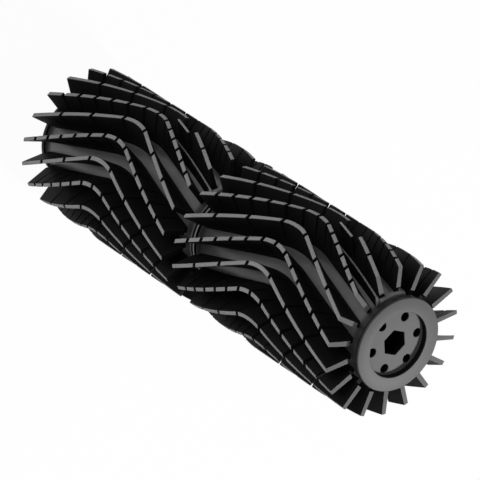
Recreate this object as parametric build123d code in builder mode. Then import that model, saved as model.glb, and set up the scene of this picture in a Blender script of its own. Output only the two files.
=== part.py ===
"""Roller brush of a robotic pool cleaner.

Two moulded rubber sleeves with toothed chevron blades are wrapped round a rigid core, one each side
of the core's centre flange and inside its two end flanges. A hex drive bore runs through the core.
The roller stands on end: its axis is Z, and the face of its lower end is on Z = 0.
"""
import math
import os

from build123d import *

# Driving dimensions, in millimetres and degrees

# Blades of one sleeve: fine and coarse ones in turn, both parted into teeth by slits
brush_diameter = 76.0
blade_length = 120.0
blade_count = 18
blade_root_width = 2.5
blade_tip_width = 2.1
chevron_angle = 25.5
apex_bend_radius = 24.0
teeth_per_fine_blade = 14
slit_width = 1.6

# Wrapped base of one sleeve, and the lap that closes it under two of the blades
base_wall = 2.0
blade_setback = 2.3
lap_thickness = 2.0
lap_lip_height = 1.9
lap_lip_width = 1.8
lap_margin = 3.4
lap_blades = (10, 11)

# Core
core_diameter = 40.8
centre_flange_width = 1.0
end_flange_rise = 0.8
end_flange_thickness = 2.2
end_flange_bevel = 0.4
recess_diameter = 32.6
recess_depth = 2.8
hex_across_flats = 11.4
hole_count = 6
hole_diameter = 4.3
hole_circle_diameter = 26.0

# Clearances of a sleeve round the core and between the flanges
sleeve_fit = 0.1
end_gap = 0.1
centre_gap = 1.7

# Worked-out sizes

tip_radius = brush_diameter / 2
core_radius = core_diameter / 2
sleeve_bore_radius = core_radius + sleeve_fit
base_radius = sleeve_bore_radius + base_wall
lap_radius = base_radius + lap_thickness
end_flange_radius = base_radius + end_flange_rise

sleeve_length = blade_length + 2 * blade_setback
sleeve_shift = centre_flange_width / 2 + centre_gap + sleeve_length / 2
core_length = 2 * (sleeve_shift + sleeve_length / 2 + end_gap + end_flange_thickness)
middle_height = core_length / 2

blade_step = 360 / blade_count
tooth_pitch = blade_length / teeth_per_fine_blade
half_teeth = teeth_per_fine_blade // 2


def chevron_angle_at(offset):
    """Turn of the blades at a distance from the sleeve's middle, from their place at its ends."""
    slope = math.radians(chevron_angle)

    def rise(distance):
        if distance < apex_bend_radius * math.sin(slope):
            return apex_bend_radius / math.cos(slope) - math.sqrt(apex_bend_radius**2 - distance**2)
        return distance * math.tan(slope)

    return math.degrees((rise(abs(offset)) - rise(blade_length / 2)) / tip_radius)


def polar(radius, angle):
    """Point of a cross-section."""
    return (radius * math.cos(math.radians(angle)), radius * math.sin(math.radians(angle)))


def arc_angle(width, radius):
    """Degrees that a width takes up round a radius."""
    return math.degrees(width / radius)


def wrapped_point(radius, angle, height):
    """Point of a sleeve that lies at an angle at the blades' ends and turns with them along the axis."""
    return Vector(*polar(radius, angle + chevron_angle_at(height)), height)


def base_outline(with_lap):
    """Line round a sleeve under its blades: radius, angle, and the blade whose foot starts there."""
    outline = []
    for blade in range(blade_count):
        middle = blade * blade_step
        lapped = with_lap and blade in lap_blades
        radius = lap_radius if lapped else base_radius
        foot = arc_angle(blade_root_width / 2, radius)
        margin = arc_angle(lap_margin, base_radius)
        if lapped and blade == lap_blades[0]:
            outline += [(base_radius, middle - foot - margin, None), (radius, middle - foot - margin, None)]
        outline += [(radius, middle - foot, blade), (radius, middle + foot, None)]
        if lapped and blade == lap_blades[-1]:
            peak = middle + foot + arc_angle(lap_lip_width / 2, base_radius)
            outline += [(radius + lap_lip_height, peak, None), (base_radius, middle + foot + margin, None)]
    return outline


def slit_at(blade, step):
    """Whether a blade is parted at a step: a fine one at each step, a coarse one at each odd step."""
    return abs(step) < half_teeth and (blade % 2 == 0 or step % 2 == 1)


def tip_at(blade, step, inward):
    """The two corners of a blade's tip at a step, drawn back by half a slit where the blade is parted."""
    height = step * tooth_pitch
    if slit_at(blade, step):
        height += inward * slit_width / 2
    spread = arc_angle(blade_tip_width / 2, tip_radius)
    return [wrapped_point(tip_radius, blade * blade_step + side * spread, height) for side in (-1, 1)]


def flat_facets(*corners):
    """Flat triangles over a loop of corners."""
    return [Face(Wire.make_polygon([corners[0], *pair])) for pair in zip(corners[1:], corners[2:])]


def toothed_ring(step):
    """One ring of a sleeve, a fine tooth long, in flat facets. Its slits are V-shaped, down to the base."""
    low, high = step * tooth_pitch, (step + 1) * tooth_pitch
    outline = base_outline(with_lap=True)
    bottom, top, facets = [], [], []
    for (radius, angle, blade), (end_radius, end_angle, _) in zip(outline, outline[1:] + outline[:1]):
        start_low, end_low = wrapped_point(radius, angle, low), wrapped_point(end_radius, end_angle, low)
        start_high, end_high = wrapped_point(radius, angle, high), wrapped_point(end_radius, end_angle, high)
        bottom.append(start_low)
        top.append(start_high)
        if blade is None:
            facets += flat_facets(start_low, end_low, end_high, start_high)
            continue
        first_low, last_low = tip_at(blade, step, 1)
        first_high, last_high = tip_at(blade, step + 1, -1)
        facets += flat_facets(start_low, first_low, first_high, start_high)
        facets += flat_facets(first_low, last_low, last_high, first_high)
        facets += flat_facets(last_low, end_low, end_high, last_high)
        if slit_at(blade, step):
            facets += flat_facets(start_low, end_low, last_low, first_low)
        else:
            bottom += [first_low, last_low]
        if slit_at(blade, step + 1):
            facets += flat_facets(start_high, first_high, last_high, end_high)
        else:
            top += [first_high, last_high]
    facets += [Face(Wire.make_polygon(bottom)), Face(Wire.make_polygon(top))]
    return Solid(Shell(facets))


# Sleeve: a stack of toothed rings between two lengths of bare base, round Z = 0
with BuildPart() as sleeve:
    bare_outline = [polar(radius, angle) for radius, angle, _ in base_outline(with_lap=False)]
    for low in (-sleeve_length / 2, blade_length / 2):
        with BuildSketch(Plane.XY.offset(low)):
            Polygon(*bare_outline, align=None)
        extrude(amount=blade_setback)
    add([toothed_ring(step) for step in range(-half_teeth, half_teeth)])
    Cylinder(sleeve_bore_radius, sleeve_length, mode=Mode.SUBTRACT)

with BuildPart() as brush_sleeve_lower:
    with Locations((0, 0, middle_height - sleeve_shift)):
        add(sleeve.part)

with BuildPart() as brush_sleeve_upper:
    with Locations((0, 0, middle_height + sleeve_shift)):
        add(sleeve.part)

# Core: half of its turned outline, mirrored about the middle, with the holes and the hex right through
with BuildPart() as core:
    with BuildSketch(Plane.XZ.shift_origin((0, 0, middle_height))):
        with BuildLine():
            Polyline(
                (0, 0),
                (base_radius, 0),
                (base_radius, centre_flange_width / 2),
                (core_radius, centre_flange_width / 2),
                (core_radius, middle_height - end_flange_thickness),
                (end_flange_radius, middle_height - end_flange_thickness),
                (end_flange_radius, middle_height - end_flange_bevel),
                (end_flange_radius - end_flange_bevel, middle_height),
                (recess_diameter / 2, middle_height),
                (recess_diameter / 2, middle_height - recess_depth),
                (0, middle_height - recess_depth),
                close=True,
            )
        make_face()
        mirror(about=Plane.XZ)
    revolve(axis=Axis.Z)
    with BuildSketch(Plane.XY):
        RegularPolygon(hex_across_flats / 2, 6, major_radius=False, rotation=180 / hole_count)
        with PolarLocations(hole_circle_diameter / 2, hole_count):
            Circle(hole_diameter / 2)
    extrude(amount=core_length, mode=Mode.SUBTRACT)

os.makedirs("parts", exist_ok=True)
core.part.label = "core"
export_step(core.part, "parts/core.step")
brush_sleeve_lower.part.label = "brush_sleeve_lower"
export_step(brush_sleeve_lower.part, "parts/brush_sleeve_lower.step")
brush_sleeve_upper.part.label = "brush_sleeve_upper"
export_step(brush_sleeve_upper.part, "parts/brush_sleeve_upper.step")
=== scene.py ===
"""Roller brush of a robotic pool cleaner, dressed in black rubber and moulded plastic.

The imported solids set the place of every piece. The two brush sleeves and the core are modelled again
here with soft edges and finer moulded detail, each in the place of its solid.
"""
import logging
import math
from collections.abc import Iterable
from dataclasses import dataclass, field
from enum import Enum
from typing import Any

import bmesh
import bpy
from mathutils import Matrix, Vector

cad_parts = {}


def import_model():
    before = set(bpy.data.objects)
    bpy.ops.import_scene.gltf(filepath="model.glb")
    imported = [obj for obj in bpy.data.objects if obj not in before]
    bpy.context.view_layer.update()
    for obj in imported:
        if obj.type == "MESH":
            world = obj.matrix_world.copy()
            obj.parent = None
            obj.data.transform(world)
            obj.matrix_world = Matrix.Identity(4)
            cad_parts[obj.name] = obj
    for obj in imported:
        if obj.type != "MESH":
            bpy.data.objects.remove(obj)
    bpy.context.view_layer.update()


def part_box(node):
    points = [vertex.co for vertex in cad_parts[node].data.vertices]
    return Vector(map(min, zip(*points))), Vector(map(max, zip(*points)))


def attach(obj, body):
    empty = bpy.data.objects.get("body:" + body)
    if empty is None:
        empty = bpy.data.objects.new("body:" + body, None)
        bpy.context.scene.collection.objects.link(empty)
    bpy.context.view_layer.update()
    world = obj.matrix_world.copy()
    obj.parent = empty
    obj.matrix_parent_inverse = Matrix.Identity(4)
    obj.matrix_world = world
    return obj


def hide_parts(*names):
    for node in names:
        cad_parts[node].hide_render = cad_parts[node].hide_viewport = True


log = logging.getLogger("pool_brush")

MILLIMETRE = 0.001

# Millimetres within which a corner lies at an end, and within which two corners are one
AT_END = 1e-3
MERGE = 1e-4

# Share of a rounding's radius by which its middle corner lies in from both sides
ROUNDING = 0.3

HEX_SIDES = 6

Colour = tuple[float, float, float]
Point = tuple[float, float, float]


class BladeKind(Enum):
    """The two kinds of blade that take turns round a sleeve."""

    FINE = "fine"
    COARSE = "coarse"


class Shade:
    """A shader socket that adds a Math node for each Python operator."""

    def __init__(self, nodes: "NodeBench", socket: bpy.types.NodeSocket) -> None:
        """Wraps one output socket.

        Args:
            nodes: The bench that adds the nodes.
            socket: The output socket.
        """
        self.nodes = nodes
        self.socket = socket

    def _math(self, operation: str, first: Any, second: Any) -> "Shade":
        """Adds one Math node.

        Args:
            operation: Name of the operation.
            first: Value or link of the first socket.
            second: Value or link of the second socket.

        Returns:
            The node's result.
        """
        return self.nodes.add("ShaderNodeMath", {"operation": operation}, {0: first, 1: second})

    def __add__(self, other: Any) -> "Shade":
        """self + other."""
        return self._math("ADD", self, other)

    def __radd__(self, other: Any) -> "Shade":
        """other + self."""
        return self._math("ADD", other, self)

    def __sub__(self, other: Any) -> "Shade":
        """self - other."""
        return self._math("SUBTRACT", self, other)

    def __rsub__(self, other: Any) -> "Shade":
        """other - self."""
        return self._math("SUBTRACT", other, self)

    def __mul__(self, other: Any) -> "Shade":
        """self * other."""
        return self._math("MULTIPLY", self, other)

    def __rmul__(self, other: Any) -> "Shade":
        """other * self."""
        return self._math("MULTIPLY", other, self)

    def larger(self, other: Any) -> "Shade":
        """The larger of self and other."""
        return self._math("MAXIMUM", self, other)


class NodeBench:
    """Adds the nodes of one node tree."""

    def __init__(self, tree: bpy.types.NodeTree) -> None:
        """Starts with an empty tree.

        Args:
            tree: The tree to fill.
        """
        self.tree = tree
        tree.nodes.clear()

    def add(
        self,
        kind: str,
        settings: dict[str, Any] | None = None,
        inputs: dict[Any, Any] | None = None,
        output: Any = 0,
    ) -> Shade:
        """Adds a node of any type.

        Args:
            kind: The node's type.
            settings: The node's own settings, set first. "stops" are the (place, colour) stops of a ramp.
            inputs: Values or links, by the name or number of the socket.
            output: Name or number of the output that is returned.

        Returns:
            The chosen output, or the first one.
        """
        node = self.tree.nodes.new(kind)
        for name, value in (settings or {}).items():
            if name == "stops":
                for stop, (place, colour) in zip(node.color_ramp.elements, value):
                    stop.position = place
                    stop.color = (*colour, 1.0)
            else:
                setattr(node, name, value)
        for name, value in (inputs or {}).items():
            socket = self._socket(node.inputs, name)
            if isinstance(value, Shade):
                self.tree.links.new(value.socket, socket)
            else:
                socket.default_value = value
        return Shade(self, self._socket(node.outputs, output) if node.outputs else None)

    @staticmethod
    def _socket(sockets: Any, name: Any) -> bpy.types.NodeSocket:
        """Finds a socket that is in use, as some nodes have several of one name.

        Args:
            sockets: A node's inputs or outputs.
            name: Name or number of the socket.

        Returns:
            The socket.
        """
        if isinstance(name, int):
            return sockets[name]
        return next(socket for socket in sockets if socket.name == name and socket.enabled)

    def range(self, value: Shade, low: float, high: float) -> Shade:
        """Maps a value smoothly to 0 at low and 1 at high.

        Args:
            value: The value.
            low: Where the result is 0.
            high: Where the result is 1.

        Returns:
            The mapped value.
        """
        return self.add(
            "ShaderNodeMapRange",
            {"interpolation_type": "SMOOTHSTEP"},
            {"Value": value, "From Min": low, "From Max": high},
        )

    def noise(self, place: Shade, scale: float, detail: float = 3.0) -> Shade:
        """Adds a noise pattern.

        Args:
            place: Coordinates.
            scale: Cells per metre.
            detail: Octaves.

        Returns:
            The pattern, from 0 to 1.
        """
        return self.add(
            "ShaderNodeTexNoise", inputs={"Vector": place, "Scale": scale, "Detail": detail}
        )

    def mark(self, name: str) -> Shade:
        """The value of a mark that a mesh carries on its corners."""
        return self.add("ShaderNodeAttribute", {"attribute_name": name}, output="Fac")

    def blend(self, factor: Shade, first: Colour, second: Colour) -> Shade:
        """Mixes two colours.

        Args:
            factor: 0 for the first colour, 1 for the second.
            first: First colour.
            second: Second colour.

        Returns:
            The mixed colour.
        """
        return self.add("ShaderNodeValToRGB", {"stops": [(0.0, first), (1.0, second)]}, {"Fac": factor})

    def mix_colour(self, factor: Shade, first: Shade, second: Shade) -> Shade:
        """Mixes two colours that vary over the surface.

        Args:
            factor: 0 for the first colour, 1 for the second.
            first: First colour.
            second: Second colour.

        Returns:
            The mixed colour.
        """
        return self.add(
            "ShaderNodeMix",
            {"data_type": "RGBA", "clamp_factor": True},
            {"Factor": factor, "A": first, "B": second},
            output="Result",
        )

    def bump(self, height: Shade, strength: float, depth: float) -> Shade:
        """Turns a pattern into relief.

        Args:
            height: The pattern.
            strength: How much of the relief shows.
            depth: Depth of the relief in metres.

        Returns:
            The normal of the relief.
        """
        return self.add(
            "ShaderNodeBump", inputs={"Strength": strength, "Distance": depth, "Height": height}
        )


@dataclass(frozen=True)
class CloudedValue:
    """A value that drifts over a surface with a cloud pattern."""

    level: float
    drift: float

    def over(self, cloud: Shade) -> Shade:
        """The value: the level where the cloud is 0, with the whole drift added where it is 1."""
        return self.level + self.drift * cloud


def start_material(name: str) -> tuple[bpy.types.Material, NodeBench]:
    """Makes a material that has no nodes yet.

    Args:
        name: Name of the material.

    Returns:
        The material, and the bench for its nodes.
    """
    material = bpy.data.materials.new(name)
    material.use_nodes = True
    return material, NodeBench(material.node_tree)


def darker(colour: Colour, share: float) -> Colour:
    """A share of a colour."""
    red, green, blue = colour
    return (share * red, share * green, share * blue)


def height_of(nodes: NodeBench, place: Shade) -> Shade:
    """Height of a surface point, in metres."""
    return nodes.add("ShaderNodeSeparateXYZ", inputs={"Vector": place}, output="Z")


def distance_along_axis(nodes: NodeBench, place: Shade, middle: float) -> Shade:
    """Distance of a surface point along the axis from a middle, in metres.

    Args:
        nodes: The material's nodes.
        place: Object coordinates.
        middle: Height of the middle.

    Returns:
        The distance, never below zero.
    """
    height = height_of(nodes, place)
    return (height - middle).larger(middle - height)


def distance_from_axis(nodes: NodeBench, place: Shade) -> Shade:
    """Distance of a surface point from the roller's axis, in metres.

    Args:
        nodes: The material's nodes.
        place: Object coordinates.

    Returns:
        The distance.
    """
    flat = nodes.add("ShaderNodeVectorMath", {"operation": "MULTIPLY"}, {0: place, 1: (1.0, 1.0, 0.0)})
    return nodes.add("ShaderNodeVectorMath", {"operation": "LENGTH"}, {0: flat}, output="Value")


@dataclass(frozen=True)
class RubberFinish:
    """Black rubber, glossy on the base and lap: blade sides near-black as painted shade; base, lap, tips,
    ends and rims lighter as painted light, the tips also as wear.

    Lengths are in metres. outward is 1 where the sleeve's outer end is its upper one, and -1 where it
    is its lower one.
    """

    name: str
    middle: float
    outward: int
    slot: str = "brush_rubber"
    lit_base_mark: str = "lit_base_rubber"
    painted_light_mark: str = "painted_light_rubber"

    # Colours, and the shares of the two light ones that are left where their patterns are darkest
    # Blade sides: near-black between these two colours, as painted shade
    painted_shade_black: Colour = (0.0020, 0.0020, 0.0021)
    face: Colour = (0.0048, 0.0048, 0.0050)
    # Base and lap: a lighter grey as painted light
    base_painted_light: Colour = (0.0690, 0.0690, 0.0705)
    base_painted_light_least: float = 0.4
    # Tips: light grey as wear and painted light; outer ends, rims and marked corners: as painted light
    wear_and_light: Colour = (0.215, 0.215, 0.219)
    wear_and_light_least: float = 0.75
    wear_and_light_cover: CloudedValue = CloudedValue(0.8, 0.4)

    # Gloss and grain
    roughness: CloudedValue = CloudedValue(0.50, 0.12)
    wear_and_light_roughness: float = 0.10
    specular: float = 0.04
    coat: CloudedValue = CloudedValue(0.6, 0.4)
    coat_roughness: float = 0.32
    grain_scale: float = 1700.0
    cloud_scale: float = 60.0
    bump_strength: float = 0.12
    bump_depth: float = 0.0004

    # Tips, light grey partly as wear and partly as painted light: where it starts and where it is full, below
    # the tip
    tip_radius: float = 0.0380
    tip_depth: float = 0.0004
    tip_full_depth: float = 0.00012

    # Outer ends of the blades, lighter as painted light (inner ends and the lowest part stay dark as painted
    # shade): where it starts and where it is full, above the base
    blade_half: float = 0.0600
    base_radius: float = 0.0225
    end_depth: float = 0.0002
    end_start: float = 0.0012
    end_full: float = 0.0016
    end_share: float = 0.95

    # Rims of the base, lighter as a painted highlight, and the corners that carry the mark of painted light
    sleeve_half: float = 0.0623
    rim_width: float = 0.0006
    rim_share: float = 0.35
    painted_light_share: float = 0.9

    # The base's painted light and its coat fade towards the ends of the blades, as painted shade
    end_shade_length: float = 0.0040
    end_shade_share: float = 0.75

    def material(self) -> bpy.types.Material:
        """Makes the material.

        Returns:
            The rubber.
        """
        material, nodes = start_material(self.name)
        place = nodes.add("ShaderNodeTexCoord", output="Object")
        grain = nodes.noise(place, self.grain_scale, detail=2.0)
        cloud = nodes.noise(place, self.cloud_scale)
        offset = distance_along_axis(nodes, place, self.middle)
        # Painted shade: the base's painted light and coat fade near the ends of the blades
        near_end = nodes.range(offset, self.blade_half - self.end_shade_length, self.blade_half)
        lit_base = nodes.mark(self.lit_base_mark) * (1.0 - self.end_shade_share * near_end)
        wear_and_light = self._wear_and_light(nodes, place)
        # Blade sides: near-black as painted shade
        side = nodes.blend(cloud, self.painted_shade_black, self.face)
        # Base and lap: lighter grey as painted light
        base = nodes.blend(cloud, darker(self.base_painted_light, self.base_painted_light_least), self.base_painted_light)
        painted_shade_and_light = nodes.mix_colour(lit_base, side, base)
        # Light grey of wear and painted light
        painted_light_and_wear = nodes.blend(grain, darker(self.wear_and_light, self.wear_and_light_least), self.wear_and_light)
        shader = nodes.add(
            "ShaderNodeBsdfPrincipled",
            inputs={
                "Base Color": nodes.mix_colour(wear_and_light * self.wear_and_light_cover.over(cloud), painted_shade_and_light, painted_light_and_wear),
                "Roughness": self.roughness.over(cloud) + self.wear_and_light_roughness * wear_and_light,
                "Specular IOR Level": self.specular,
                "Coat Weight": lit_base * self.coat.over(cloud),
                "Coat Roughness": self.coat_roughness,
                "Normal": nodes.bump(grain, self.bump_strength, self.bump_depth),
            },
        )
        nodes.add("ShaderNodeOutputMaterial", inputs={"Surface": shader})
        return material

    def _wear_and_light(self, nodes: NodeBench, place: Shade) -> Shade:
        """Finds where the rubber is painted lighter: tips as wear and painted light; outer ends of blades,
        rims and marked corners as painted light.

        Args:
            nodes: The material's nodes.
            place: Object coordinates.

        Returns:
            1 where it is lightest, otherwise less.
        """
        radius = distance_from_axis(nodes, place)
        tips = nodes.range(radius, self.tip_radius - self.tip_depth, self.tip_radius - self.tip_full_depth)
        out = (height_of(nodes, place) - self.middle) * float(self.outward)
        # Only outer end faces above this height get the painted light; the rest of the ends stays dark as
        # painted shade
        raised = nodes.range(radius, self.base_radius + self.end_start, self.base_radius + self.end_full)
        ends = nodes.range(out, self.blade_half - self.end_depth, self.blade_half) * raised
        offset = distance_along_axis(nodes, place, self.middle)
        half_rim = self.rim_width / 2
        # Rims of the base: a painted highlight
        rims = nodes.range(offset, self.sleeve_half - self.rim_width, self.sleeve_half - half_rim)
        outside = nodes.range(radius, self.base_radius - self.rim_width, self.base_radius - half_rim)
        wear_and_light = tips.larger(ends * self.end_share).larger(rims * outside * self.rim_share)
        return wear_and_light.larger(nodes.mark(self.painted_light_mark) * self.painted_light_share)


@dataclass(frozen=True)
class CorePlasticFinish:
    """Satin plastic with a fine moulded grain: grey on its flat faces and rims, near-black as painted shade
    in its recesses, holes and gaps.

    Lengths are in metres, and offsets count from the middle of the core.
    """

    middle: float
    name: str = "core_satin_plastic"
    slot: str = "core_plastic"
    painted_shade_black: Colour = (0.0025, 0.0025, 0.0027)
    face: Colour = (0.150, 0.150, 0.153)
    face_cover: CloudedValue = CloudedValue(0.78, 0.3)
    roughness: CloudedValue = CloudedValue(0.42, 0.12)
    specular: float = 0.10
    grain_scale: float = 1500.0
    cloud_scale: float = 45.0
    bump_strength: float = 0.10
    bump_depth: float = 0.0003
    # Where the grey ends the plastic is painted near-black as shade: recess walls, holes, core between the
    # sleeves, flange sides
    face_offset: float = 0.1291
    floor_offset: float = 0.1263
    recess_radius: float = 0.0163
    rim_radius: float = 0.0225
    end_zone: float = 0.1200
    fade: float = 0.0003
    # Sides of the end flanges: a little grey near their faces, darkening below as painted shade
    wall_fade: float = 0.0018
    wall_share: float = 0.3

    def material(self) -> bpy.types.Material:
        """Makes the material.

        Returns:
            The plastic.
        """
        material, nodes = start_material(self.name)
        place = nodes.add("ShaderNodeTexCoord", output="Object")
        grain = nodes.noise(place, self.grain_scale, detail=2.0)
        cloud = nodes.noise(place, self.cloud_scale)
        cover = self._shown(nodes, place) * self.face_cover.over(cloud)
        shader = nodes.add(
            "ShaderNodeBsdfPrincipled",
            inputs={
                "Base Color": nodes.blend(cover, self.painted_shade_black, self.face),
                "Roughness": self.roughness.over(cloud),
                "Specular IOR Level": self.specular,
                "Normal": nodes.bump(grain, self.bump_strength, self.bump_depth),
            },
        )
        nodes.add("ShaderNodeOutputMaterial", inputs={"Surface": shader})
        return material

    def _shown(self, nodes: NodeBench, place: Shade) -> Shade:
        """Finds the faces that show grey: the end faces, the recess floors and the rim of the centre flange;
        elsewhere the plastic is painted near-black as shade.

        Args:
            nodes: The material's nodes.
            place: Object coordinates.

        Returns:
            1 on those faces, less on the sides of the end flanges, and 0 inside the holes; the dark is
            painted shade.
        """
        radius = distance_from_axis(nodes, place)
        offset = distance_along_axis(nodes, place, self.middle)
        faces = nodes.range(offset, self.face_offset - self.fade, self.face_offset)
        floors = nodes.range(offset, self.floor_offset - self.fade, self.floor_offset)
        inside = 1.0 - nodes.range(radius, self.recess_radius - self.fade, self.recess_radius)
        rims = nodes.range(radius, self.rim_radius - self.fade, self.rim_radius)
        central = 1.0 - nodes.range(offset, self.end_zone - self.fade, self.end_zone)
        outside = nodes.range(radius, self.recess_radius, self.recess_radius + self.fade)
        walls = outside * nodes.range(offset, self.face_offset - self.wall_fade, self.face_offset)
        return faces.larger(floors * inside).larger(rims * central).larger(walls * self.wall_share)


@dataclass(frozen=True)
class Chevron:
    """The course of a blade along its sleeve, in degrees and millimetres from the sleeve's middle."""

    slope: float = 25.5
    bend_radius: float = 24.0
    length: float = 120.0
    tip_radius: float = 38.0

    def rise(self, distance: float) -> float:
        """How far the blade runs round the tips at a distance from the middle.

        Args:
            distance: Distance along the axis.

        Returns:
            Length round the tips, from the crossing of the two straight runs.
        """
        slope = math.radians(self.slope)
        if distance < self.bend_radius * math.sin(slope):
            return self.bend_radius / math.cos(slope) - math.sqrt(self.bend_radius**2 - distance**2)
        return distance * math.tan(slope)

    def turn(self, offset: float) -> float:
        """Turn of the blade about the axis, from its place at the sleeve's ends.

        Args:
            offset: Place along the axis.

        Returns:
            The turn in radians.
        """
        distance = min(abs(offset), self.length / 2)
        return (self.rise(distance) - self.rise(self.length / 2)) / self.tip_radius


def only(kind: type, items: Iterable[Any]) -> list[Any]:
    """The items of one kind, such as the corners among what an operator made."""
    return [item for item in items if isinstance(item, kind)]


def extrude_up(
    mesh: bmesh.types.BMesh, faces: list[bmesh.types.BMFace], step: Vector, closed: bool = False
) -> list[bmesh.types.BMFace]:
    """Extrudes faces as regions and moves the new faces.

    Args:
        mesh: The mesh.
        faces: Faces to extrude.
        step: The move.
        closed: Whether the old faces stay, to close the first end of a shape.

    Returns:
        The new faces.
    """
    made = bmesh.ops.extrude_face_region(mesh, geom=faces)["geom"]
    tops, points = only(bmesh.types.BMFace, made), only(bmesh.types.BMVert, made)
    if not closed:
        bmesh.ops.delete(mesh, geom=faces, context="FACES")
    bmesh.ops.translate(mesh, verts=points, vec=step)
    return tops


def verts_of(faces: Iterable[bmesh.types.BMFace]) -> list[bmesh.types.BMVert]:
    """The corners of some faces, each once."""
    return list({corner: None for face in faces for corner in face.verts})


def faces_at(corners: Iterable[bmesh.types.BMVert]) -> list[bmesh.types.BMFace]:
    """The faces that meet at some corners, each once."""
    return list({face: None for corner in corners if corner.is_valid for face in corner.link_faces})


def show(mesh: bmesh.types.BMesh, name: str, sharp: float = 30.0) -> bpy.types.Object:
    """Turns a bmesh in millimetres into an object in metres, smooth apart from its sharp edges.

    Args:
        mesh: The bmesh, which is freed.
        name: Name of the object.
        sharp: Angle in degrees from which an edge is sharp.

    Returns:
        The object.
    """
    bmesh.ops.scale(mesh, verts=mesh.verts, vec=Vector((MILLIMETRE,) * 3))
    data = bpy.data.meshes.new(name)
    mesh.to_mesh(data)
    mesh.free()
    data.shade_smooth()
    data.set_sharp_from_angle(angle=math.radians(sharp))
    piece = bpy.data.objects.new(name, data)
    bpy.context.scene.collection.objects.link(piece)
    return piece


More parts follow.
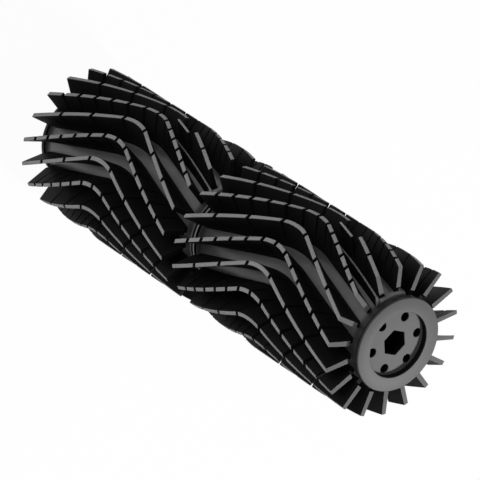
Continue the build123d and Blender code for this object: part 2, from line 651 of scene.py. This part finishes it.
@dataclass
class BrushSleeve:
    """One rubber sleeve: wrapped base, lap with its lip, and toothed chevron blades, in millimetres."""

    node: str
    middle: float
    finish: RubberFinish
    chevron: Chevron = field(default_factory=Chevron)
    sharp_angle: float = 35.0

    # Base
    length: float = 124.6
    bore_radius: float = 20.5
    base_radius: float = 22.5
    rim_round: float = 0.5
    base_steps: int = 144

    # Lap: corners of its rounded edge and of its lip, each by a turn in radians and a depth below the top
    lap_blades: tuple[int, int] = (10, 11)
    lap_radius: float = 24.5
    lap_margin: float = 3.4
    lap_rounding: tuple[tuple[float, float], ...] = ((0.0, 0.6), (0.008, 0.15), (0.025, 0.0))
    lip_height: float = 1.9
    lip_width: float = 1.8
    lip_rounding: tuple[tuple[float, float], ...] = (
        (-0.022, 0.6), (-0.014, 0.3), (0.0, 0.0), (0.014, 0.3), (0.022, 0.6)
    )
    # Depth below the lip's crest that is marked for painted light, as are the lap's bevelled ends
    lit_crest: float = 0.45
    lap_bevel: float = 0.9
    lap_drop: float = 0.7
    lap_parts: int = 8
    lap_steps: int = 48

    # Blades
    blade_count: int = 18
    fine_teeth: int = 14
    coarse_teeth: int = 7
    part_length: float = 2.6
    slit_mouth: float = 1.9
    slit_root: float = 0.5
    ridge_height: float = 3.0
    foot_sink: float = 0.4
    foot_width: float = 3.1
    fillet_height: float = 0.4
    root_width: float = 2.5
    tip_width: float = 2.1
    tip_round: float = 0.3
    tip_round_steps: int = 2
    notch_height: float = 2.2
    notch_depth: float = 1.7

    # The second blade on the lap: its flared foot, and the tooth that leans, by how far at its two ends
    flared_foot_width: float = 5.4
    flare_height: float = 1.7
    leaning_tooth: int = 4
    lean: tuple[float, float] = (6.6, 4.0)
    lean_thinning: float = 0.65

    def build(self) -> bpy.types.Object:
        """Builds the sleeve and dresses it.

        Returns:
            The sleeve.
        """
        mesh = bmesh.new()
        for mark in (self.finish.lit_base_mark, self.finish.painted_light_mark):
            mesh.verts.layers.float.new(mark)
        self._base(mesh)
        self._lap(mesh)
        for number in range(self.blade_count):
            self._blade(mesh, number, BladeKind.COARSE if number % 2 else BladeKind.FINE)
        bmesh.ops.translate(mesh, verts=mesh.verts, vec=(0, 0, self.middle))
        piece = show(mesh, self.node + "_rubber", self.sharp_angle)
        self.dress(piece)
        return piece

    def dress(self, piece: bpy.types.Object) -> None:
        """Gives the sleeve its rubber and puts it in the place of its solid.

        Args:
            piece: The sleeve.
        """
        piece.data.materials.append(self.finish.material())
        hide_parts(self.node)
        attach(piece, "root")

    def _angle(self, number: int) -> float:
        """Place of a blade round the sleeve at its ends, in degrees."""
        return number * 360.0 / self.blade_count

    def _base(self, mesh: bmesh.types.BMesh) -> None:
        """Spins the tube that carries the blades, with rounded rims, and marks it for the base's painted
        light and coat.

        Args:
            mesh: The sleeve's mesh.
        """
        half = self.length / 2
        soft = ROUNDING * self.rim_round
        profile = [
            (self.bore_radius, -half),
            (self.base_radius - self.rim_round, -half),
            (self.base_radius - soft, -half + soft),
            (self.base_radius, -half + self.rim_round),
            (self.base_radius, half - self.rim_round),
            (self.base_radius - soft, half - soft),
            (self.base_radius - self.rim_round, half),
            (self.bore_radius, half),
        ]
        corners = [mesh.verts.new((radius, 0.0, height)) for radius, height in profile]
        edges = [mesh.edges.new(pair) for pair in zip(corners, corners[1:] + corners[:1])]
        bmesh.ops.spin(
            mesh,
            geom=corners + edges,
            axis=(0, 0, 1),
            cent=(0, 0, 0),
            steps=self.base_steps,
            angle=math.tau,
            use_merge=True,
        )
        bmesh.ops.recalc_face_normals(mesh, faces=mesh.faces)
        # The base tube takes the base's painted light and coat
        lit_base = mesh.verts.layers.float[self.finish.lit_base_mark]
        for corner in mesh.verts:
            corner[lit_base] = 1.0

    def _wrap(self, corners: list[bmesh.types.BMVert], angle: float, radius: float) -> None:
        """Bends a flat strip round the sleeve along the chevron.

        Args:
            corners: Corners of the strip: X across it, Y above its foot, Z along the axis.
            angle: Place of the strip round the sleeve at its ends, in degrees.
            radius: Radius of its foot.
        """
        for corner in corners:
            across, height, along = corner.co
            reach = radius + height
            turn = math.radians(angle) + self.chevron.turn(along) + across / reach
            corner.co = (reach * math.cos(turn), reach * math.sin(turn), along)

    def _lap_valley(self) -> float:
        """Turn in radians from the middle of the lap to the foot of its lip, beside the second blade."""
        first, last = (self._angle(number) for number in self.lap_blades)
        return math.radians(last - first) / 2 + self.root_width / 2 / self.lap_radius

    def _lap_outline(self) -> list[tuple[float, float]]:
        """Corners of the lap's cross-section: plate, lip and underside.

        Returns:
            Of each corner, the turn in radians from the middle of the lap, and the height above the base.
        """
        valley = self._lap_valley()
        edge = valley + self.lap_margin / self.base_radius
        peak = valley + self.lip_width / 2 / self.base_radius
        top = self.lap_radius - self.base_radius
        outline = [(-edge, -self.foot_sink)]
        outline += [(turn - edge, top - depth) for turn, depth in self.lap_rounding]
        plate = outline[-1][0]
        for part in range(1, self.lap_parts + 1):
            outline.append((plate + (valley - plate) * part / self.lap_parts, top))
        outline += [(peak + turn, top + self.lip_height - depth) for turn, depth in self.lip_rounding]
        for part in range(self.lap_parts):
            outline.append((edge - 2 * edge * part / self.lap_parts, -self.foot_sink))
        return outline

    def _lap(self, mesh: bmesh.types.BMesh) -> None:
        """Builds the lap under two of the blades, with a lip along one edge and bevelled ends.

        Args:
            mesh: The sleeve's mesh.
        """
        before = set(mesh.verts)
        low = -self.chevron.length / 2
        corners = [
            mesh.verts.new((turn * (self.base_radius + height), height, low))
            for turn, height in self._lap_outline()
        ]
        faces = [mesh.faces.new(corners)]
        plain = (self.chevron.length - 2 * self.lap_bevel) / self.lap_steps
        for order, run in enumerate([self.lap_bevel, *[plain] * self.lap_steps, self.lap_bevel]):
            faces = extrude_up(mesh, faces, Vector((0.0, 0.0, run)), closed=order == 0)
        made = [corner for corner in mesh.verts if corner not in before]
        self._finish_lap(mesh, made)
        self._wrap(made, sum(self._angle(number) for number in self.lap_blades) / 2, self.base_radius)
        bmesh.ops.remove_doubles(mesh, verts=made, dist=MERGE)
        bmesh.ops.recalc_face_normals(mesh, faces=faces_at(made))

    def _finish_lap(self, mesh: bmesh.types.BMesh, corners: list[bmesh.types.BMVert]) -> None:
        """Marks the lap's plate for the base's painted light, its crest and its bevelled ends for painted
        light, and draws the ends down.

        Args:
            mesh: The sleeve's mesh.
            corners: Corners of the lap while it is flat.
        """
        lit_base = mesh.verts.layers.float[self.finish.lit_base_mark]
        painted_light_and_wear = mesh.verts.layers.float[self.finish.painted_light_mark]
        half = self.chevron.length / 2
        plate_end = self._lap_valley() * self.lap_radius + AT_END
        crest = self.lap_radius - self.base_radius + self.lip_height
        for corner in corners:
            across, height, along = corner.co
            above = height > 0
            at_end = above and abs(along) > half - AT_END
            on_bevel = above and abs(along) > half - self.lap_bevel - AT_END
            corner[lit_base] = 1.0 if above and across < plate_end and not at_end else 0.0
            # Bevelled ends and the lip's crest: marked for painted light
            corner[painted_light_and_wear] = 1.0 if on_bevel or height > crest - self.lit_crest else 0.0
            if at_end:
                corner.co.y -= self.lap_drop

    def _stations(self, teeth: int) -> list[tuple[float, bool]]:
        """Places along a blade where its strip is divided.

        Args:
            teeth: How many teeth the blade has.

        Returns:
            Each place, and whether the run from it to the next is part of a tooth.
        """
        pitch = self.chevron.length / teeth
        parts = round(pitch / self.part_length)
        places = []
        for tooth in range(teeth):
            low = -self.chevron.length / 2 + tooth * pitch
            high = low + pitch
            if tooth > 0:
                low += self.slit_root / 2
            if tooth < teeth - 1:
                high -= self.slit_root / 2
            places += [(low + (high - low) * part / parts, True) for part in range(parts)]
            places.append((high, False))
        return places

    def _strip(
        self, mesh: bmesh.types.BMesh, places: list[float], width: float, level: float
    ) -> list[bmesh.types.BMFace]:
        """Extrudes the flat strip under a blade from place to place.

        Args:
            mesh: The sleeve's mesh.
            places: Places along the axis.
            width: Width of the strip.
            level: Height of the strip.

        Returns:
            Its faces.
        """
        row = [mesh.verts.new((side * width / 2, level, places[0])) for side in (-1, 1)]
        edge = mesh.edges.new(row)
        faces = []
        for low, high in zip(places, places[1:]):
            made = bmesh.ops.extrude_edge_only(mesh, edges=[edge])["geom"]
            ends = only(bmesh.types.BMVert, made)
            bmesh.ops.translate(mesh, verts=ends, vec=(0, 0, high - low))
            faces += only(bmesh.types.BMFace, made)
            edge = next(line for line in only(bmesh.types.BMEdge, made) if set(line.verts) == set(ends))
        return faces

    def _blade(self, mesh: bmesh.types.BMesh, number: int, kind: BladeKind) -> None:
        """Builds one blade: a flared foot, a low ridge, and the teeth that stand on it.

        Args:
            mesh: The sleeve's mesh.
            number: Number of the blade round the sleeve.
            kind: Which kind of blade it is.
        """
        teeth = self.fine_teeth if kind is BladeKind.FINE else self.coarse_teeth
        on_lap, flared = number in self.lap_blades, number == self.lap_blades[-1]
        foot_radius = self.lap_radius if on_lap else self.base_radius
        # On the lap the foot reaches below the bevelled ends
        level = -self.foot_sink - (self.lap_drop if on_lap else 0.0)
        width = self.flared_foot_width if flared else self.foot_width
        stations = self._stations(teeth)
        before = set(mesh.verts)

        strip = self._strip(mesh, [place for place, _ in stations], width, level)
        undercut = verts_of(strip)
        foot_height = self.flare_height if flared else self.fillet_height
        for order, next_level in enumerate((foot_height, self.notch_height, self.ridge_height)):
            strip = extrude_up(mesh, strip, Vector((0, next_level - level, 0)), closed=order == 0)
            bmesh.ops.scale(mesh, verts=verts_of(strip), vec=(self.root_width / width, 1, 1))
            level, width = next_level, self.root_width
            if level <= self.notch_height:
                undercut += verts_of(strip)
        strip.sort(key=lambda face: face.calc_center_median().z)
        crowns = [face for face, (_, in_tooth) in zip(strip, stations) if in_tooth]
        tip_height = self.chevron.tip_radius - foot_radius
        crowns = extrude_up(mesh, crowns, Vector((0, tip_height - level, 0)))
        tips = verts_of(crowns)
        bmesh.ops.scale(mesh, verts=tips, vec=(self.tip_width / width, 1, 1))
        self._widen_mouths(crowns)
        if flared:
            self._lean(tips, self.chevron.length / teeth)
        self._cut_notches([corner for corner in undercut if corner.is_valid])
        self._round_tips(mesh, crowns)

        made = [corner for corner in mesh.verts if corner not in before]
        faces = faces_at(made)
        bmesh.ops.recalc_face_normals(mesh, faces=faces)
        self._wrap(made, self._angle(number), foot_radius)
        # Across, up and along become a left-handed set round the sleeve, so the faces are turned round
        bmesh.ops.reverse_faces(mesh, faces=faces)

    def _widen_mouths(self, crowns: list[bmesh.types.BMFace]) -> None:
        """Draws the tips of the teeth back from the slits, so that each slit is wider at its mouth.

        Args:
            crowns: Top faces of the teeth.
        """
        half = self.chevron.length / 2
        faces = set(crowns)
        for corner in verts_of(crowns):
            sides = [face for face in corner.link_faces if face in faces]
            if len(sides) == 1 and abs(corner.co.z) < half - AT_END:
                inward = sides[0].calc_center_median().z - corner.co.z
                corner.co.z += math.copysign((self.slit_mouth - self.slit_root) / 2, inward)

    def _lean(self, tips: list[bmesh.types.BMVert], pitch: float) -> None:
        """Leans one tooth over, more at one end than at the other.

        Args:
            tips: Corners of the blade's tip.
            pitch: Length of a tooth with its slit.
        """
        low = self.leaning_tooth * pitch - self.chevron.length / 2
        for corner in tips:
            part = (corner.co.z - low) / pitch
            if 0.0 < part < 1.0:
                shift = self.lean[0] + (self.lean[1] - self.lean[0]) * part
                corner.co.x = corner.co.x * self.lean_thinning + shift

    def _cut_notches(self, corners: list[bmesh.types.BMVert]) -> None:
        """Draws the foot of the blade back under its two end faces.

        Args:
            corners: Corners of the blade up to the height of the notch.
        """
        half = self.chevron.length / 2
        for corner in corners:
            if abs(corner.co.z) > half - AT_END:
                corner.co.z -= math.copysign(self.notch_depth, corner.co.z)

    def _round_tips(self, mesh: bmesh.types.BMesh, crowns: list[bmesh.types.BMFace]) -> None:
        """Rounds the rim of each tooth.

        Args:
            mesh: The sleeve's mesh.
            crowns: Top faces of the teeth.
        """
        faces = set(crowns)
        lines = {line: None for face in crowns for line in face.edges}
        bmesh.ops.bevel(
            mesh,
            geom=[line for line in lines if sum(face in faces for face in line.link_faces) == 1],
            offset=self.tip_round,
            offset_type="OFFSET",
            segments=self.tip_round_steps,
            profile=0.5,
            affect="EDGES",
            material=-1,
        )


@dataclass
class Core:
    """The rigid core: flanges, end recesses, six holes and a hex bore, in millimetres."""

    node: str
    finish: CorePlasticFinish
    length: float = 258.2
    radius: float = 20.4
    flange_radius: float = 23.3
    flange_thickness: float = 2.2
    flange_bevel: float = 0.4
    centre_radius: float = 22.5
    centre_width: float = 1.0
    recess_radius: float = 16.3
    recess_depth: float = 2.8
    hex_across_flats: float = 11.4
    hole_count: int = 6
    hole_radius: float = 2.15
    hole_circle_radius: float = 13.0
    lip: float = 0.25
    round_steps: int = 128
    hole_steps: int = 32

    def build(self) -> bpy.types.Object:
        """Builds the core from its upper half and dresses it.

        Returns:
            The core.
        """
        mesh = bmesh.new()
        middle = self.length / 2
        floor = self.length - self.recess_depth
        outer = self._loop(mesh, self.round_steps, self.recess_radius, (0, 0, floor))
        openings = self._openings(mesh, floor)
        lines = [line for loop in (outer, *openings) for line in loop]
        bmesh.ops.triangle_fill(mesh, use_beauty=True, use_dissolve=False, edges=lines)
        for loop in openings:
            rim = self._move(mesh, loop, 0.0, -self.lip)
            self._shrink(mesh, rim)
            self._move(mesh, rim, 0.0, middle - floor + self.lip)
        self._turn(mesh, outer, floor)
        bmesh.ops.mirror(
            mesh,
            geom=list(mesh.verts) + list(mesh.edges) + list(mesh.faces),
            matrix=Matrix.Translation((0, 0, -middle)),
            merge_dist=AT_END,
            axis="Z",
        )
        bmesh.ops.remove_doubles(mesh, verts=mesh.verts, dist=MERGE)
        bmesh.ops.recalc_face_normals(mesh, faces=mesh.faces)
        piece = show(mesh, self.node + "_moulding")
        self.dress(piece)
        return piece

    def dress(self, piece: bpy.types.Object) -> None:
        """Gives the core its plastic and puts it in the place of its solid.

        Args:
            piece: The core.
        """
        piece.data.materials.append(self.finish.material())
        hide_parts(self.node)
        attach(piece, "root")

    def _openings(self, mesh: bmesh.types.BMesh, floor: float) -> list[list[bmesh.types.BMEdge]]:
        """Makes the edges of the hex and of the holes in the recess floor, each wider by its lip.

        Args:
            mesh: The core's mesh.
            floor: Height of the recess floor.

        Returns:
            One ring for each opening.
        """
        hex_radius = self.hex_across_flats / math.sqrt(3)
        openings = [self._loop(mesh, HEX_SIDES, hex_radius + self.lip, (0, 0, floor), math.pi / HEX_SIDES)]
        for number in range(self.hole_count):
            turn = math.tau * number / self.hole_count
            across, along = self.hole_circle_radius * math.cos(turn), self.hole_circle_radius * math.sin(turn)
            openings.append(
                self._loop(mesh, self.hole_steps, self.hole_radius + self.lip, (across, along, floor))
            )
        return openings

    def _loop(
        self, mesh: bmesh.types.BMesh, steps: int, radius: float, place: Point, turn: float = 0.0
    ) -> list[bmesh.types.BMEdge]:
        """Makes a ring of edges across the axis.

        Args:
            mesh: The core's mesh.
            steps: Number of corners.
            radius: Radius of the corners.
            place: Middle of the ring.
            turn: Turn of its corners from the X axis in radians.

        Returns:
            The edges.
        """
        # The operator starts its circle on the Y axis
        matrix = Matrix.Translation(place) @ Matrix.Rotation(turn + math.pi / 2, 4, "Z")
        made = bmesh.ops.create_circle(mesh, segments=steps, radius=radius, matrix=matrix)["verts"]
        return list({line for corner in made for line in corner.link_edges})

    def _move(
        self, mesh: bmesh.types.BMesh, ring: list[bmesh.types.BMEdge], grow: float, rise: float
    ) -> list[bmesh.types.BMEdge]:
        """Extrudes a ring of edges.

        Args:
            mesh: The core's mesh.
            ring: The ring.
            grow: By how much its radius about the axis grows.
            rise: How far it moves along the axis.

        Returns:
            The new ring.
        """
        made = bmesh.ops.extrude_edge_only(mesh, edges=ring)["geom"]
        corners = only(bmesh.types.BMVert, made)
        fresh = set(corners)
        bmesh.ops.translate(mesh, verts=corners, vec=(0, 0, rise))
        if grow:
            radius = corners[0].co.xy.length
            scale = (radius + grow) / radius
            bmesh.ops.scale(mesh, verts=corners, vec=(scale, scale, 1))
        return [line for line in only(bmesh.types.BMEdge, made) if fresh.issuperset(line.verts)]

    def _shrink(self, mesh: bmesh.types.BMesh, ring: list[bmesh.types.BMEdge]) -> None:
        """Draws the ring of an opening in by the width of its lip.

        Args:
            mesh: The core's mesh.
            ring: The ring.
        """
        corners = list({corner for line in ring for corner in line.verts})
        centre = sum((corner.co for corner in corners), Vector()) / len(corners)
        radius = (corners[0].co - centre).length
        scale = (radius - self.lip) / radius
        bmesh.ops.scale(mesh, verts=corners, vec=(scale, scale, 1), space=Matrix.Translation(-centre))

    def _turn(self, mesh: bmesh.types.BMesh, ring: list[bmesh.types.BMEdge], floor: float) -> None:
        """Builds the outside of one half from the edge of the recess floor to the middle.

        Args:
            mesh: The core's mesh.
            ring: Edge of the recess floor.
            floor: Height of that floor.
        """
        top, under = self.length, self.length - self.flange_thickness
        centre_top = (self.length + self.centre_width) / 2
        soft = self.lip / 2
        bevel_middle = ROUNDING * self.flange_bevel
        outline = [
            (self.recess_radius, top - self.lip),
            (self.recess_radius + self.lip, top),
            (self.flange_radius - self.flange_bevel, top),
            (self.flange_radius - bevel_middle, top - bevel_middle),
            (self.flange_radius, top - self.flange_bevel),
            (self.flange_radius, under + soft),
            (self.flange_radius - soft, under),
            (self.radius, under),
            (self.radius, centre_top),
            (self.centre_radius - soft, centre_top),
            (self.centre_radius, centre_top - soft),
            (self.centre_radius, self.length / 2),
        ]
        radius, height = self.recess_radius, floor
        for next_radius, next_height in outline:
            ring = self._move(mesh, ring, next_radius - radius, next_height - height)
            radius, height = next_radius, next_height


@dataclass(frozen=True)
class Softbox:
    """One soft studio lamp that points at the middle of the roller, in watts and metres."""

    name: str
    direction: Point
    power: float
    width: float
    distance: float = 1.3

    def build(self, aim: Vector) -> None:
        """Adds the lamp.

        Args:
            aim: What the lamp points at.
        """
        lamp = bpy.data.lights.new(self.name, "AREA")
        lamp.shape = "DISK"
        lamp.size = self.width
        lamp.energy = self.power
        holder = bpy.data.objects.new(self.name, lamp)
        towards = Vector(self.direction).normalized()
        holder.location = aim + self.distance * towards
        holder.rotation_euler = towards.to_track_quat("Z", "Y").to_euler()
        bpy.context.scene.collection.objects.link(holder)


@dataclass
class Studio:
    """Plain pale floor, soft light and the camera of the photograph, in metres and lens millimetres."""

    right: Point = (-0.3552, 0.7251, 0.5899)
    up: Point = (-0.9118, -0.1300, -0.3894)
    back: Point = (-0.2057, -0.6762, 0.7074)
    camera_place: Point = (-0.3875, -1.2732, 1.4677)
    lens: float = 296.2
    sensor: float = 36.0
    aim: Point = (0.0, 0.0, 0.129)
    floor_size: float = 3.0
    floor_colour: Colour = (0.86, 0.86, 0.86)
    white: Colour = (1.0, 1.0, 1.0)
    backdrop_share: float = 0.96
    world_level: float = 0.10
    lamps: tuple[Softbox, ...] = (
        Softbox("key", (0.32, 0.63, 0.72), 13.0, 0.16),
        Softbox("front", (-0.40, -0.90, 0.16), 12.0, 0.9),
        Softbox("right_fill", (0.9, -0.4, 0.12), 8.0, 1.0),
        Softbox("left_fill", (-0.9, 0.5, 0.12), 3.0, 1.0),
    )

    def build(self) -> None:
        """Adds floor, world, lamps and camera, and sets the plain view."""
        bpy.context.scene.view_settings.view_transform = "Standard"
        self._floor()
        self._world()
        for lamp in self.lamps:
            lamp.build(Vector(self.aim))
        self._camera()

    def _seen_directly(self, nodes: NodeBench) -> Shade:
        """Finds the rays that show the background as it is.

        Args:
            nodes: Nodes of the floor or the world.

        Returns:
            1 for camera, glossy and transmission rays, otherwise 0.
        """
        camera, glossy, transmission = (
            nodes.add("ShaderNodeLightPath", output=name)
            for name in ("Is Camera Ray", "Is Glossy Ray", "Is Transmission Ray")
        )
        return camera + glossy + transmission

    def _floor(self) -> None:
        """Adds the floor, which shows near white and keeps a soft shadow."""
        mesh = bmesh.new()
        bmesh.ops.create_grid(mesh, x_segments=1, y_segments=1, size=self.floor_size / 2 / MILLIMETRE)
        floor = show(mesh, "floor")
        material, nodes = start_material("pale_floor")
        matt = nodes.add("ShaderNodeBsdfDiffuse", inputs={"Color": (*self.floor_colour, 1.0)})
        white = nodes.add("ShaderNodeEmission", inputs={"Color": (*self.white, 1.0), "Strength": 1.0})
        seen = self._seen_directly(nodes) * self.backdrop_share
        surface = nodes.add("ShaderNodeMixShader", inputs={0: seen, 1: matt, 2: white})
        nodes.add("ShaderNodeOutputMaterial", inputs={"Surface": surface})
        floor.data.materials.append(material)

    def _world(self) -> None:
        """Adds an even pale surrounding that shows white and lights softly."""
        world = bpy.data.worlds.new("studio")
        world.use_nodes = True
        bpy.context.scene.world = world
        nodes = NodeBench(world.node_tree)
        strength = self.world_level + self._seen_directly(nodes) * (1.0 - self.world_level)
        light = nodes.add("ShaderNodeBackground", inputs={"Color": (*self.white, 1.0), "Strength": strength})
        nodes.add("ShaderNodeOutputWorld", inputs={"Surface": light})

    def _camera(self) -> None:
        """Adds the camera at the viewing angle of the photograph."""
        data = bpy.data.cameras.new("camera")
        data.lens = self.lens
        data.sensor_width = self.sensor
        camera = bpy.data.objects.new("camera", data)
        axes = Matrix((self.right, self.up, self.back)).transposed().to_4x4()
        camera.matrix_world = Matrix.Translation(self.camera_place) @ axes
        bpy.context.scene.collection.objects.link(camera)
        bpy.context.scene.camera = camera


def main() -> None:
    """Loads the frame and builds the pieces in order."""
    logging.basicConfig(level=logging.INFO, format="%(message)s")
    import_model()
    for node, outward in (("brush_sleeve_lower", -1), ("brush_sleeve_upper", 1)):
        low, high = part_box(node)
        middle = (low[2] + high[2]) / 2
        rubber = RubberFinish(node + "_black_rubber", middle, outward)
        sleeve = BrushSleeve(node, middle / MILLIMETRE, rubber).build()
        log.info("%s: %d faces", sleeve.name, len(sleeve.data.polygons))
    low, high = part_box("core")
    core = Core("core", CorePlasticFinish((low[2] + high[2]) / 2)).build()
    log.info("%s: %d faces", core.name, len(core.data.polygons))
    Studio().build()


if __name__ == "__main__":
    main()
